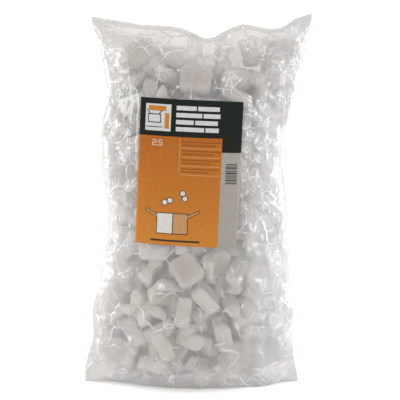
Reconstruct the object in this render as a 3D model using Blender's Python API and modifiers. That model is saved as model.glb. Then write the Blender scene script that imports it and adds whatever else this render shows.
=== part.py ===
"""Packing peanut bag: a clear film pillow bag of foam loose-fill chips, with a printed label.

The bag is a lay-flat film tube, welded across its top and its bottom, that stands on the chips
settled in its foot. Metres, +Z up, front towards -Y, origin under the middle of the foot.
"""

import math
import random

import bmesh
import bpy
import numpy as np
from mathutils import Matrix, Quaternion, Vector
from mathutils.bvhtree import BVHTree

# Film tube and its welds
FLAT_WIDTH = 0.188
FLAT_LENGTH = 0.341
FILM = 0.00035
WELD_WIDTH = 0.003

# Shape of the filled bag, as half depths and film lengths along its middle
BODY_HALF_DEPTH = 0.038
FOOT_HALF_DEPTH = 0.035
FOOT_RADIUS = 0.020
BELLY_LENGTH = 0.120
SHOULDER_LENGTH = 0.050
FOOT_PRESS = 0.0022
SEAM_SLACK = 0.0006
LEAST_OPENING = 0.00015

# Flat corners of the tube that stand out as ears
TOP_EAR_RISE = 0.0185
FOOT_EAR_LIFT = 0.0028
LEFT_EAR_SHARPNESS = 3.0
RIGHT_EAR_SHARPNESS = 7.0
FOOT_PINCH = 1.05
FOOT_PINCH_START = 0.055
FOOT_PINCH_END = 0.145

# Top weld: share of the half width, and rise above its dip
TOP_EDGE = (
    (-1.00, 0.0177),
    (-0.80, 0.0150),
    (-0.57, 0.0115),
    (-0.14, 0.0064),
    (-0.05, 0.0024),
    (0.00, 0.0002),
    (0.11, 0.0006),
    (0.20, 0.0050),
    (0.30, 0.0096),
    (0.74, 0.0094),
    (0.86, 0.0162),
    (1.00, 0.0206),
)
TOP_EDGE_REACH = 0.110

# Centre line of the slumped bag seen from the front: height, and shift to the right
CENTRE_LINE = (
    (0.000, -0.0048),
    (0.014, -0.0060),
    (0.040, -0.0045),
    (0.080, -0.0032),
    (0.115, -0.0002),
    (0.160, -0.0002),
    (0.200, -0.0048),
    (0.225, -0.0032),
    (0.255, 0.0032),
    (0.330, 0.0038),
)

# Bulges where chips press on the film
BULGE_PITCH = 0.027
BULGE_HEIGHT = 0.0022
BULGE_RADIUS = 0.017
BULGE_MARGIN = 0.030

# Air holes in the back film
VENT_DIAMETER = 0.005
VENT_SPACING = 0.060
VENT_HEIGHT = 0.262

# Printed label on the front
LABEL_WIDTH = 0.087
LABEL_HEIGHT = 0.125
LABEL_THICKNESS = 0.0003
LABEL_GAP = 0.0004
LABEL_X = -0.0070
LABEL_Z = 0.192
LABEL_TURN = math.radians(2.6)
LABEL_HEADER = 0.0315
LABEL_STRIP = 0.0165
LABEL_HOOK = 0.0120
LABEL_MARGIN = 0.012

# Foam chips
CHIP_WIDTH = 0.0250
CHIP_THICKNESS = 0.0135
CHIP_LENGTH = 0.0270
CHIP_WAIST = 0.32
CHIP_BEND = 0.0050
CHIP_EDGE = 0.0022
CHIP_GAP = 0.0003
CHIP_ROW_PITCH = 0.0215
CHIP_COLUMN_PITCH = 0.0235
FRONT_CHIPS = 55
LOOSE_CHIPS = 104
LOBE_GAP = 0.0005
SEATED_LOBE_GAP = 0.0030
CORE_INSET = 0.0115
CORE_MIN_THICKNESS = 0.003
CORE_REACH = 0.72

# Mesh fineness and seeds
AROUND = 40
PROFILE_STEPS = 1400
CHIP_POINTS = 14
LABEL_COLUMNS = 10
LABEL_ROWS = 8
CORE_COLUMNS = 14
CORE_ROWS = 22
PLAIN_CHIP_POINTS = 10
CHIP_TRIES = 70
SETTLE_STEPS = 160
BULGE_SEED = 11
CHIP_SEED = 5
LOOSE_SEED = 21

FRONT = -1
BACK = 1


def smooth_step(value, start, end):
    """Rise from 0 at start to 1 at end, with level ends."""
    share = np.clip((value - start) / (end - start), 0.0, 1.0)
    return share * share * (3.0 - 2.0 * share)


def clear_scene():
    """Remove the scene's objects."""
    for old in list(bpy.data.objects):
        bpy.data.objects.remove(old)


def make_collection(name):
    """Add a collection under the scene."""
    collection = bpy.data.collections.new(name)
    bpy.context.scene.collection.children.link(collection)
    return collection


def make_material(name, colour, roughness, alpha=1.0):
    """Plain Principled material."""
    material = bpy.data.materials.new(name)
    material.use_nodes = True
    shader = material.node_tree.nodes["Principled BSDF"]
    shader.inputs["Base Color"].default_value = (*colour, 1.0)
    shader.inputs["Roughness"].default_value = roughness
    shader.inputs["Metallic"].default_value = 0.0
    shader.inputs["Alpha"].default_value = alpha
    return material


def add_object(name, mesh, collection, material=None):
    """Put a mesh in the collection as a named object."""
    part = bpy.data.objects.new(name, mesh)
    collection.objects.link(part)
    if material is not None and not mesh.materials:
        mesh.materials.append(material)
    return part


def as_guide(part):
    """Mark an object as a cutter or guide that is no part of the bag."""
    part.hide_render = True
    part.display_type = "WIRE"
    return part


def add_boolean(part, other, operation, crossing=False):
    """Cut or join another object, which may cross itself, with the exact solver."""
    step = part.modifiers.new(f"{operation.lower()}_{other.name}", "BOOLEAN")
    step.operation = operation
    step.solver = "EXACT"
    step.object = other
    step.use_self = crossing


def mesh_from(name, points, faces):
    """Make a mesh with its faces turned outwards."""
    form = bmesh.new()
    corners = [form.verts.new(point) for point in points]
    for face in faces:
        form.faces.new([corners[index] for index in face])
    bmesh.ops.recalc_face_normals(form, faces=form.faces)
    mesh = bpy.data.meshes.new(name)
    form.to_mesh(mesh)
    form.free()
    mesh.shade_smooth()
    mesh.set_sharp_from_angle(angle=math.radians(50))
    return mesh


class PillowShape:
    """The filled tube: where each point of the film lies.

    A point is named by its share of the half width, from -1 to 1 between the side folds, by its
    side, front or back, and by its film length above the bottom weld.
    """

    def __init__(self):
        self.along = np.linspace(0.0, FLAT_LENGTH, PROFILE_STEPS)
        self.depth = self.half_depth(self.along)
        run = np.diff(self.along)
        rise = np.sqrt(np.maximum(run**2 - np.diff(self.depth) ** 2, 0.0))
        self.middle = np.concatenate([[0.0], np.cumsum(rise)])
        self.height = float(self.middle[-1])
        self.side_top = self.height + TOP_EAR_RISE
        unpinched = smooth_step(self.along, FOOT_PINCH_START, FOOT_PINCH_END)
        self.pinch = 1.0 + FOOT_PINCH * (1.0 - unpinched)
        self.width = self.half_width()
        self.bulges = self.bulge_centres()

    def half_depth(self, along):
        """Half depth of the bag: flat foot, round foot corner, belly, then the shoulder."""
        turn = np.clip((along - FOOT_HALF_DEPTH + FOOT_RADIUS) / FOOT_RADIUS, 0.0, math.pi / 2)
        floor = np.minimum(along, FOOT_HALF_DEPTH - FOOT_RADIUS)
        corner_end = FOOT_HALF_DEPTH - FOOT_RADIUS + FOOT_RADIUS * math.pi / 2
        belly = smooth_step(along, corner_end, corner_end + BELLY_LENGTH)
        foot = floor + FOOT_RADIUS * np.sin(turn) + (BODY_HALF_DEPTH - FOOT_HALF_DEPTH) * belly
        below_weld = np.maximum(FLAT_LENGTH - WELD_WIDTH - along, 0.0)
        return np.maximum(foot * np.tanh(below_weld / SHOULDER_LENGTH), FILM)

    def section(self, share, along):
        """Depth of the section at a share of the half width, as a share of its half depth."""
        pinch = np.interp(along, self.along, self.pinch)
        return np.maximum(1.0 - share**2, 0.0) ** (pinch / 2)

    def half_width(self):
        """Half width that gives every section the flat tube's girth, found by halving."""
        turn = np.linspace(0.0, math.pi / 2, 41)
        share = np.cos(turn)[None, :]
        girth_share = FLAT_WIDTH / 2
        depth = self.depth[:, None] * np.sin(turn)[None, :] ** self.pinch[:, None]
        low = np.full(len(self.along), FLAT_WIDTH / 4)
        high = np.full(len(self.along), FLAT_WIDTH / 2)
        for _ in range(24):
            middle = (low + high) / 2
            steps = np.hypot(np.diff(middle[:, None] * share), np.diff(depth))
            long = steps.sum(axis=1) > girth_share
            high = np.where(long, middle, high)
            low = np.where(long, low, middle)
        return (low + high) / 2

    def bulge_centres(self):
        """Centres of the bulges on a loose grid: side, x and z, clear of label, foot and welds."""
        rng = random.Random(BULGE_SEED)
        rows = int((self.height - 2 * BULGE_MARGIN) / BULGE_PITCH) + 1
        columns = int(FLAT_WIDTH / BULGE_PITCH) + 1
        label_margin = BULGE_RADIUS + 2 * FLAT_WIDTH / AROUND
        centres = []
        for side in (FRONT, BACK):
            for row in range(rows):
                for column in range(columns):
                    x = (column - (columns - 1) / 2 + rng.uniform(-0.3, 0.3)) * BULGE_PITCH
                    z = BULGE_MARGIN + (row + rng.uniform(-0.3, 0.3)) * BULGE_PITCH
                    if side == BACK or not under_label(x, z, label_margin):
                        centres.append((side, x, z))
        return centres

    def bulge(self, side, x, z):
        """Outward push of the film over the chips at a point of one side."""
        push = np.zeros_like(x)
        for bulge_side, bulge_x, bulge_z in self.bulges:
            if bulge_side == side:
                reach = np.hypot(x - bulge_x, z - bulge_z) / BULGE_RADIUS
                push = np.maximum(push, np.maximum(1.0 - reach**2, 0.0) ** 2)
        fade = smooth_step(z, 0.5 * BULGE_MARGIN, 1.5 * BULGE_MARGIN)
        fade = fade * smooth_step(self.height - z, 0.3 * BULGE_MARGIN, BULGE_MARGIN)
        return BULGE_HEIGHT * push * fade

    def centre(self, height):
        """Sideways shift of the bag's middle at a height."""
        return smooth_curve(np.asarray(height, float), *np.transpose(CENTRE_LINE))

    def point(self, share, side, along, inset=0.0):
        """Film point, moved into the bag by the inset. Takes numbers or arrays."""
        share, along = np.broadcast_arrays(np.asarray(share, float), np.asarray(along, float))
        depth = np.interp(along, self.along, self.depth)
        width = np.interp(along, self.along, self.width)
        middle = np.interp(along, self.along, self.middle)
        slope = np.gradient(self.depth, self.along)
        side_height = FOOT_EAR_LIFT + along / FLAT_LENGTH * (self.side_top - FOOT_EAR_LIFT)
        sharpness = np.where(share < 0.0, LEFT_EAR_SHARPNESS, RIGHT_EAR_SHARPNESS)
        ear = np.abs(share) ** sharpness
        floor_share = np.clip(np.interp(along, self.along, slope), 0.0, 1.0) * (1.0 - ear)
        wall_share = np.sqrt(1.0 - floor_share**2)
        top = smooth_step(along, FLAT_LENGTH - TOP_EDGE_REACH, FLAT_LENGTH)
        edge_share, edge_rise = np.transpose(TOP_EDGE)
        edge = smooth_curve(share, edge_share, edge_rise)
        z = middle + (1.0 - top) * (side_height - middle) * ear + top * edge
        z = np.maximum(z - FOOT_PRESS * (1.0 - top), 0.0)
        z = np.maximum(z + inset * floor_share, inset)
        x = share * (width - inset) + self.centre(z)
        shape = self.section(share, along)
        swell = self.bulge(side, x, z) * np.sqrt(np.maximum(1.0 - share**2, 0.0))
        y = side * (np.maximum(depth - inset * wall_share, LEAST_OPENING) * shape + swell)
        return np.stack([x, y, z], axis=-1)

    def rings(self, start, end):
        """Film lengths of the loft's rings, close together where the film turns."""
        corner = FOOT_HALF_DEPTH - FOOT_RADIUS
        corner_end = corner + FOOT_RADIUS * math.pi / 2
        shoulder = FLAT_LENGTH - SHOULDER_LENGTH
        lengths = list(np.linspace(0.0, corner, 3))
        lengths += list(np.linspace(corner, corner_end, 4)[1:])
        lengths += list(np.linspace(corner_end, shoulder, 18)[1:])
        lengths += list(np.linspace(shoulder, FLAT_LENGTH - WELD_WIDTH, 5)[1:])
        inner = [length for length in lengths if start < length < end]
        return [start, *inner, end]


def smooth_curve(value, knots, levels):
    """Read a curve through the knots with level-free slopes (cubic, monotone between knots)."""
    slopes = np.gradient(levels, knots)
    index = np.clip(np.searchsorted(knots, value) - 1, 0, len(knots) - 2)
    span = knots[index + 1] - knots[index]
    share = np.clip((value - knots[index]) / span, 0.0, 1.0)
    rise = levels[index + 1] - levels[index]
    start = slopes[index] * span - rise
    end = rise - slopes[index + 1] * span
    bend = share * (1.0 - share) * (start * (1.0 - share) + end * share)
    return levels[index] + rise * share + bend


def under_label(x, z, margin):
    """Say whether a front point lies within a margin of the turned label."""
    across = (x - LABEL_X) * math.cos(LABEL_TURN) - (z - LABEL_Z) * math.sin(LABEL_TURN)
    up = (x - LABEL_X) * math.sin(LABEL_TURN) + (z - LABEL_Z) * math.cos(LABEL_TURN)
    return abs(across) < LABEL_WIDTH / 2 + margin and abs(up) < LABEL_HEIGHT / 2 + margin


def loft(name, pillow, start, end, inset):
    """Closed loft of the pillow's rings, with a flat end across the first and the last."""
    turns = np.arange(AROUND) * 2 * math.pi / AROUND
    share = np.cos(turns)
    front = np.sin(turns) < -1e-9
    lengths = pillow.rings(start, end)
    points = []
    for along in lengths:
        on_front = pillow.point(share, FRONT, along, inset)
        on_back = pillow.point(share, BACK, along, inset)
        points.append(np.where(front[:, None], on_front, on_back))
    faces = []
    for row in range(len(lengths) - 1):
        for column in range(AROUND):
            following = (column + 1) % AROUND
            low, high = row * AROUND, (row + 1) * AROUND
            faces.append((low + column, low + following, high + following, high + column))
    for row in (0, len(lengths) - 1):
        faces += end_strip(row * AROUND)
    return mesh_from(name, np.concatenate(points).tolist(), faces)


def end_strip(first):
    """Faces across a narrow ring, joining each front point to the back point behind it."""
    half = AROUND // 2
    strip = [(first, first + 1, first + AROUND - 1)]
    for step in range(1, half - 1):
        strip.append((first + step, first + step + 1, first + AROUND - step - 1, first + AROUND - step))
    strip.append((first + half - 1, first + half, first + half + 1))
    return strip


def build_film(pillow, collection, cutters):
    """Film bag: the outer loft, hollowed by the inner one between the welds, with air holes."""
    clear = make_material("clear_film", (0.90, 0.90, 0.89), 0.12, alpha=0.25)
    bag = add_object("film_bag", loft("film_bag", pillow, 0.0, FLAT_LENGTH, 0.0), collection, clear)
    opens = FLAT_LENGTH - WELD_WIDTH - SEAM_SLACK
    cavity = loft("film_cavity", pillow, WELD_WIDTH, opens, FILM)
    inside = as_guide(add_object("film_cavity", cavity, cutters))
    add_boolean(bag, inside, "DIFFERENCE")
    for number, side in enumerate((-1, 1), start=1):
        vent = vent_cutter(f"vent_cutter_{number}", side * VENT_SPACING / 2)
        cutters.objects.link(vent)
        add_boolean(bag, vent, "DIFFERENCE")
    return inside


def vent_cutter(name, x):
    """Round cutter that goes through the back film only."""
    form = bmesh.new()
    length = 2 * BODY_HALF_DEPTH
    place = Matrix.Translation((x, length / 2 + WELD_WIDTH, VENT_HEIGHT))
    bmesh.ops.create_cone(
        form,
        cap_ends=True,
        segments=12,
        radius1=VENT_DIAMETER / 2,
        radius2=VENT_DIAMETER / 2,
        depth=length,
        matrix=place @ Matrix.Rotation(math.pi / 2, 4, "X"),
    )
    mesh = bpy.data.meshes.new(name)
    form.to_mesh(mesh)
    form.free()
    return as_guide(bpy.data.objects.new(name, mesh))


def front_skin(pillow, x, z):
    """Depth of the front film at x and z, found by stepping towards its share and film length."""
    share = np.zeros_like(x)
    along = np.full_like(z, 0.5 * FLAT_LENGTH)
    for _ in range(40):
        place = pillow.point(share, FRONT, along)
        width = np.interp(along, pillow.along, pillow.width)
        share = np.clip(share + (x - place[..., 0]) / width, -0.999, 0.999)
        along = np.clip(along + (z - place[..., 2]), 0.0, FLAT_LENGTH)
    return pillow.point(share, FRONT, along)[..., 1]


def build_label(pillow, collection):
    """Label: a thin printed sheet that follows the front film, just clear of it."""
    strip_edge = LABEL_WIDTH - LABEL_STRIP
    across = np.unique(np.append(np.linspace(0.0, LABEL_WIDTH, LABEL_COLUMNS + 1), strip_edge))
    header_edge = LABEL_HEIGHT - LABEL_HEADER
    hook_edge = header_edge - LABEL_HOOK
    up = np.linspace(0.0, LABEL_HEIGHT, LABEL_ROWS + 1)
    up = np.unique(np.append(up, [header_edge, hook_edge]))
    grid_x, grid_z = np.meshgrid(across - LABEL_WIDTH / 2, up - LABEL_HEIGHT / 2)
    x = LABEL_X + grid_x * math.cos(LABEL_TURN) + grid_z * math.sin(LABEL_TURN)
    z = LABEL_Z + grid_z * math.cos(LABEL_TURN) - grid_x * math.sin(LABEL_TURN)
    y = front_skin(pillow, x, z) - LABEL_GAP - LABEL_THICKNESS
    points = np.stack([x, y, z], axis=-1).reshape(-1, 3).tolist()
    columns = len(across)
    faces = []
    fields = []
    for row in range(len(up) - 1):
        for column in range(columns - 1):
            first = row * columns + column
            faces.append((first, first + 1, first + columns + 1, first + columns))
            in_strip = across[column] >= strip_edge - 1e-6
            top = hook_edge if in_strip else header_edge
            header = up[row] >= top - 1e-6
            fields.append(0 if header else 2 if in_strip else 1)
    mesh = bpy.data.meshes.new("label")
    mesh.from_pydata(points, [], faces)
    mesh.materials.append(make_material("label_header", (0.022, 0.030, 0.027), 0.45))
    mesh.materials.append(make_material("label_field", (0.65, 0.20, 0.03), 0.45))
    mesh.materials.append(make_material("label_strip", (0.42, 0.43, 0.43), 0.45))
    mesh.polygons.foreach_set("material_index", fields)
    label = add_object("label", mesh, collection)
    skin = label.modifiers.new("sheet", "SOLIDIFY")
    skin.thickness = LABEL_THICKNESS
    skin.offset = -1.0
    return label


def chip_outline(bend, count):
    """Two-lobed section of a chip; bend turns it from a figure of eight into a kidney."""
    turns = np.arange(count) * 2 * math.pi / count
    x = CHIP_WIDTH / 2 * np.cos(turns)
    y = np.sin(turns) + CHIP_WAIST * np.sin(3 * turns)
    y = CHIP_THICKNESS / 2 * y / np.abs(y).max()
    return x, y + bend * (0.5 - np.cos(turns) ** 2)


def chip_mesh(name, bend, count, edge_steps):
    """Foam chip: the section extruded along its length, with its two cut edges rounded off."""
    x, y = chip_outline(bend, count)
    form = bmesh.new()
    ends = []
    for end in (-1, 1):
        z = end * CHIP_LENGTH / 2
        ring = [form.verts.new((x[i], y[i], z)) for i in range(count)]
        ends.append(ring)
    for i in range(count):
        j = (i + 1) % count
        form.faces.new((ends[0][i], ends[0][j], ends[1][j], ends[1][i]))
    caps = [form.faces.new(ring) for ring in ends]
    bmesh.ops.recalc_face_normals(form, faces=form.faces)
    if edge_steps:
        rims = list({edge for cap in caps for edge in cap.edges})
        bmesh.ops.bevel(form, geom=rims, offset=CHIP_EDGE, segments=edge_steps, profile=0.6, affect="EDGES")
    mesh = bpy.data.meshes.new(name)
    form.to_mesh(mesh)
    form.free()
    mesh.shade_smooth()
    mesh.set_sharp_from_angle(angle=math.radians(40))
    mesh["bend"] = bend
    return mesh


class Chip:
    """A chip's mesh at a place in the bag."""

    def __init__(self, mesh, turn):
        self.mesh = mesh
        self.turn = turn.to_matrix()
        points = np.array([vertex.co for vertex in mesh.vertices])
        self.local = points @ np.array(self.turn).T
        self.faces = [tuple(face.vertices) for face in mesh.polygons]
        self.place = np.zeros(3)

    def points(self):
        return self.local + self.place

    def tree(self, grow=0.0):
        """Search tree of the chip's faces, with the chip grown by a clearance all round."""
        reach = np.linalg.norm(self.local, axis=1, keepdims=True)
        grown = self.local * (1.0 + grow / reach.min())
        return BVHTree.FromPolygons((grown + self.place).tolist(), self.faces)

    def turn_table(self):
        return np.array(self.turn)

    def matrix(self):
        return Matrix.Translation(Vector(self.place)) @ self.turn.to_4x4()


class ChipLayer:
    """Chips seated one by one against the inside of the film on one side of the bag."""

    def __init__(self, pillow, wall, meshes, seed):
        self.pillow = pillow
        self.wall = wall
        self.meshes = meshes
        self.rng = random.Random(seed)
        self.placed = []

    def slots(self, skip_label):
        """Loose grid of places to try, lowest first."""
        rows = int((self.pillow.height - CHIP_LENGTH / 2) / CHIP_ROW_PITCH)
        columns = int(FLAT_WIDTH / CHIP_COLUMN_PITCH)
        places = []
        for row in range(rows):
            z = CHIP_THICKNESS + (row + 0.2) * CHIP_ROW_PITCH
            shift = 0.5 * (row % 2) - 0.25
            for column in range(columns):
                x = (column - (columns - 1) / 2 + shift) * CHIP_COLUMN_PITCH
                if not (skip_label and under_label(x, z, -LABEL_MARGIN)):
                    places.append((x + float(self.pillow.centre(z)), z))
        return places

    def seat(self, chip, side, x, z):
        """Move a chip from the bag's middle out to the film; say whether it fits there."""
        chip.place = np.array([x, 0.0, z])
        reach = math.inf
        behind = math.inf
        for point in chip.points():
            start = Vector((point[0], 0.0, point[2]))
            hit = self.wall.ray_cast(start, Vector((0.0, side, 0.0)))[0]
            back_hit = self.wall.ray_cast(start, Vector((0.0, -side, 0.0)))[0]
            if hit is None or back_hit is None:
                return False
            reach = min(reach, side * hit.y - side * point[1])
            behind = min(behind, side * point[1] - side * back_hit.y)
        chip.place[1] = side * (reach - CHIP_GAP)
        if behind + reach < CORE_MIN_THICKNESS + 5 * CHIP_GAP:
            return False
        for _ in range(8):
            if not chip.tree(CHIP_GAP).overlap(self.wall):
                return True
            chip.place[1] -= side * CHIP_GAP
        return False

    def clear_of(self, chip, others):
        """Say whether a chip keeps its clearance to chips already placed."""
        grown = chip.tree(CHIP_GAP)
        span = math.hypot(CHIP_LENGTH, CHIP_WIDTH, CHIP_THICKNESS)
        for other, tree in others:
            near = np.linalg.norm(other.place - chip.place) < span
            if near and grown.overlap(tree):
                return False
        return True

    def fill(self, side, number, skip_label):
        """Seat a number of chips on one side, going over the places until all are in."""
        layer = []
        places = self.slots(skip_label)
        for x, z in places * 6:
            if len(layer) == number:
                break
            chip = self.try_slot(side, x, z)
            if chip is not None:
                self.placed.append((chip, chip.tree()))
                layer.append(chip)
        return layer

    def try_slot(self, side, x, z):
        """Try turns and small shifts at a slot, and take the fit that lies lowest."""
        lowest = None
        for _ in range(CHIP_TRIES):
            turn = Quaternion([self.rng.gauss(0.0, 1.0) for _ in range(4)]).normalized()
            chip = Chip(self.rng.choice(self.meshes), turn)
            shift_x = self.rng.uniform(-0.5, 0.5) * CHIP_COLUMN_PITCH
            shift_z = self.rng.uniform(-0.5, 0.5) * CHIP_ROW_PITCH
            if not self.seat(chip, side, x + shift_x, z + shift_z):
                continue
            if lowest is not None and chip.place[2] > lowest.place[2]:
                continue
            if self.clear_of(chip, self.placed):
                lowest = chip
        return lowest

    def seat_loose(self, places, core):
        """Loose chips that stand out of the core, each drawn in until it is clear of the film."""
        layer = []
        for place, turn, bend in places:
            mesh = next(mesh for mesh in self.meshes if mesh["bend"] == bend)
            chip = Chip(mesh, Matrix(turn.tolist()).to_quaternion())
            chip.place = place.copy()
            for _ in range(20):
                if not chip.tree(CHIP_GAP).overlap(self.wall):
                    break
                chip.place[1] -= CHIP_GAP
            inside = not chip.tree(CHIP_GAP).overlap(self.wall) and self.seat_is_inside(chip)
            if inside and chip.tree().overlap(core) and self.clear_of(chip, self.placed):
                layer.append(chip)
        return layer

    def seat_is_inside(self, chip):
        """Say whether the bag's wall lies both before and behind a chip's middle."""
        middle = Vector(chip.place)
        hits = [self.wall.ray_cast(middle, Vector((0.0, side, 0.0)))[0] for side in (FRONT, BACK)]
        return None not in hits


class LooseFill:
    """Chips behind the front ones, tumbled in and settled against each other and the film.

    Each chip holds four balls, one in each end of each lobe. Balls that overlap push their chips
    apart and round, and a ball outside the bag is pushed back in, until the chips lie still.
    """

    def __init__(self, pillow, seed):
        self.pillow = pillow
        self.rng = np.random.default_rng(seed)
        self.radius = CHIP_THICKNESS / 2
        self.across = CHIP_WIDTH / 2 - self.radius
        self.lengthwise = CHIP_LENGTH / 2 - self.radius

    def lobes(self, bend):
        """Middles of a chip's four balls."""
        signs = [(a, b) for a in (-1, 1) for b in (-1, 1)]
        return np.array([(a * self.across, -bend / 4, b * self.lengthwise) for a, b in signs])

    def inward(self, balls):
        """Step that brings each ball into the bag's section at its height."""
        pillow = self.pillow
        highest = pillow.height - 2 * self.radius - CORE_INSET
        z = np.clip(balls[:, 2], self.radius + 2 * CHIP_GAP, highest)
        depth = np.interp(z, pillow.middle, pillow.depth) - self.radius - 2 * CHIP_GAP
        width = np.interp(z, pillow.middle, pillow.width) - 2 * self.radius
        middle = pillow.centre(z)
        pinch = np.interp(z, pillow.middle, pillow.pinch)
        share = np.clip(np.abs(balls[:, 0] - middle) / width, 0.0, 0.999)
        depth = np.maximum(depth * (1.0 - share**2) ** (pinch / 2), LEAST_OPENING)
        x = np.clip(balls[:, 0], middle - width, middle + width)
        y = np.clip(balls[:, 1], -depth, depth)
        return np.stack([x, y, z], axis=-1) - balls

    def settle(self, fixed_chips):
        """Place, turn and bend of each loose chip among the fixed ones."""
        fixed = [chip.place + self.lobes(chip.mesh["bend"]) @ chip.turn_table().T for chip in fixed_chips]
        fixed = np.concatenate(fixed)
        bends = np.where(self.rng.random(LOOSE_CHIPS) < 0.5, CHIP_BEND, 0.0)
        turns = np.linalg.qr(self.rng.normal(size=(LOOSE_CHIPS, 3, 3)))[0]
        turns[:, :, 2] *= np.linalg.det(turns)[:, None]
        low = (-0.40 * FLAT_WIDTH, -0.25 * BODY_HALF_DEPTH, CHIP_THICKNESS)
        high = (0.40 * FLAT_WIDTH, 0.80 * BODY_HALF_DEPTH, self.pillow.height - CHIP_LENGTH)
        places = self.rng.uniform(low, high, (LOOSE_CHIPS, 3))
        local = np.stack([self.lobes(bend) for bend in bends])
        owner = np.repeat(np.arange(LOOSE_CHIPS), 4)
        same = owner[:, None] == np.concatenate([owner, np.full(len(fixed), -1)])
        gaps = [np.full(len(owner), LOBE_GAP), np.full(len(fixed), SEATED_LOBE_GAP)]
        spacing = CHIP_THICKNESS + np.concatenate(gaps)
        moment = 4 * (self.across**2 + self.lengthwise**2)
        for _ in range(SETTLE_STEPS):
            arms = local @ turns.transpose(0, 2, 1)
            balls = (arms + places[:, None]).reshape(-1, 3)
            apart = balls[:, None] - np.concatenate([balls, fixed])
            far = np.linalg.norm(apart, axis=2) + 1e-9
            press = np.where(same, 0.0, np.maximum(spacing - far, 0.0))
            push = 0.3 * (apart / far[..., None] * press[..., None]).sum(axis=1)
            push = (push + self.inward(balls)).reshape(-1, 4, 3)
            places = places + 1.3 * push.mean(axis=1)
            turns = swung(turns, np.cross(arms, push).sum(axis=1) / moment)
        return list(zip(places, turns, bends))


def swung(turns, swing):
    """Rotations after a small swing each, made square again."""
    moved = turns + np.cross(swing[:, None, :], turns.transpose(0, 2, 1)).transpose(0, 2, 1)
    first = moved[:, :, 0] / np.linalg.norm(moved[:, :, 0], axis=1)[:, None]
    second = moved[:, :, 1] - first * (first * moved[:, :, 1]).sum(axis=1)[:, None]
    second = second / np.linalg.norm(second, axis=1)[:, None]
    return np.stack([first, second, np.cross(first, second)], axis=-1)


def build_core(pillow, front_chips, cutters):
    """Hidden middle of the heap: a lumpy slab behind the front chips and inside the back ones."""
    share = np.linspace(-CORE_REACH, CORE_REACH, CORE_COLUMNS)
    low = FOOT_HALF_DEPTH + CORE_INSET
    along = np.linspace(low, FLAT_LENGTH - 1.3 * SHOULDER_LENGTH, CORE_ROWS)
    grid_share, grid_along = np.meshgrid(share, along)
    behind = pillow.point(grid_share, BACK, grid_along)
    x, z = behind[..., 0], behind[..., 2]
    before = pillow.point(grid_share, FRONT, grid_along)[..., 1] + CORE_INSET
    step_x = (x[:, 1:] - x[:, :-1]).max()
    step_z = (z[1:] - z[:-1]).max()
    for chip in front_chips:
        for point in sample_chip(chip):
            near = (np.abs(x - point[0]) < step_x) & (np.abs(z - point[2]) < step_z)
            before = np.where(near, np.maximum(before, point[1] + 2 * CHIP_GAP), before)
    limit = behind[..., 1] - 2 * CHIP_GAP
    after = np.minimum(np.maximum(behind[..., 1] - CORE_INSET, before + CORE_MIN_THICKNESS), limit)
    points = np.concatenate([np.stack([x, before, z], -1), np.stack([x, after, z], -1)])
    faces = slab_faces(CORE_ROWS, CORE_COLUMNS)
    mesh = mesh_from("heap_core", points.reshape(-1, 3).tolist(), faces)
    return as_guide(add_object("heap_core", mesh, cutters))


def slab_faces(rows, columns):
    """Faces of a closed slab between two grids of points."""
    back = rows * columns
    faces = []
    for row in range(rows - 1):
        for column in range(columns - 1):
            a = row * columns + column
            quad = (a, a + 1, a + columns + 1, a + columns)
            faces.append(quad)
            faces.append(tuple(back + index for index in reversed(quad)))
    rim = list(range(columns))
    rim += [row * columns + columns - 1 for row in range(1, rows)]
    rim += [(rows - 1) * columns + column for column in range(columns - 2, -1, -1)]
    rim += [row * columns for row in range(rows - 2, 0, -1)]
    for i, a in enumerate(rim):
        b = rim[(i + 1) % len(rim)]
        faces.append((b, a, back + a, back + b))
    return faces


def sample_chip(chip):
    """Points over a chip's surface, also between its two ends."""
    points = chip.points()
    lengthwise = np.array([vertex.co.z for vertex in chip.mesh.vertices])
    axis = np.array(chip.turn)[:, 2]
    samples = [points]
    for share in (0.25, 0.5, 0.75):
        samples.append(points - axis * (lengthwise * share)[:, None])
    return np.concatenate(samples)


def join_chips(name, chips, cutters):
    """One guide object that holds the given chips."""
    form = bmesh.new()
    for chip in chips:
        piece = chip.mesh.copy()
        piece.transform(chip.matrix())
        form.from_mesh(piece)
        bpy.data.meshes.remove(piece)
    mesh = bpy.data.meshes.new(name)
    form.to_mesh(mesh)
    form.free()
    return as_guide(add_object(name, mesh, cutters))


def build_chips(pillow, inside, collection, cutters):
    """Chips that show at the front, each its own piece, and the rest of the heap fused."""
    foam = make_material("white_foam", (0.86, 0.85, 0.83), 0.6)
    kinds = {"eight": 0.0, "kidney": CHIP_BEND}
    meshes = [chip_mesh(f"chip_{kind}", bend, CHIP_POINTS, 1) for kind, bend in kinds.items()]
    plain = [chip_mesh(f"plain_{kind}", bend, PLAIN_CHIP_POINTS, 0) for kind, bend in kinds.items()]
    for mesh in meshes:
        mesh.materials.append(foam)
    wall = BVHTree.FromObject(inside, bpy.context.evaluated_depsgraph_get())
    layer = ChipLayer(pillow, wall, meshes, CHIP_SEED)
    front_chips = layer.fill(FRONT, FRONT_CHIPS, True)
    for number, chip in enumerate(front_chips, start=1):
        part = add_object(f"chip_{number:02d}", chip.mesh, collection)
        part.matrix_world = chip.matrix()
    core = build_core(pillow, front_chips, cutters)
    layer.meshes = plain
    bpy.context.view_layer.update()
    core_tree = BVHTree.FromObject(core, bpy.context.evaluated_depsgraph_get())
    loose = LooseFill(pillow, LOOSE_SEED).settle(front_chips)
    back_chips = layer.seat_loose(loose, core_tree)
    rest = add_object("chip_heap", core.data.copy(), collection)
    rest.data.materials.clear()
    rest.data.materials.append(foam)
    add_boolean(rest, join_chips("heap_back_chips", back_chips, cutters), "UNION", crossing=True)


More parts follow.
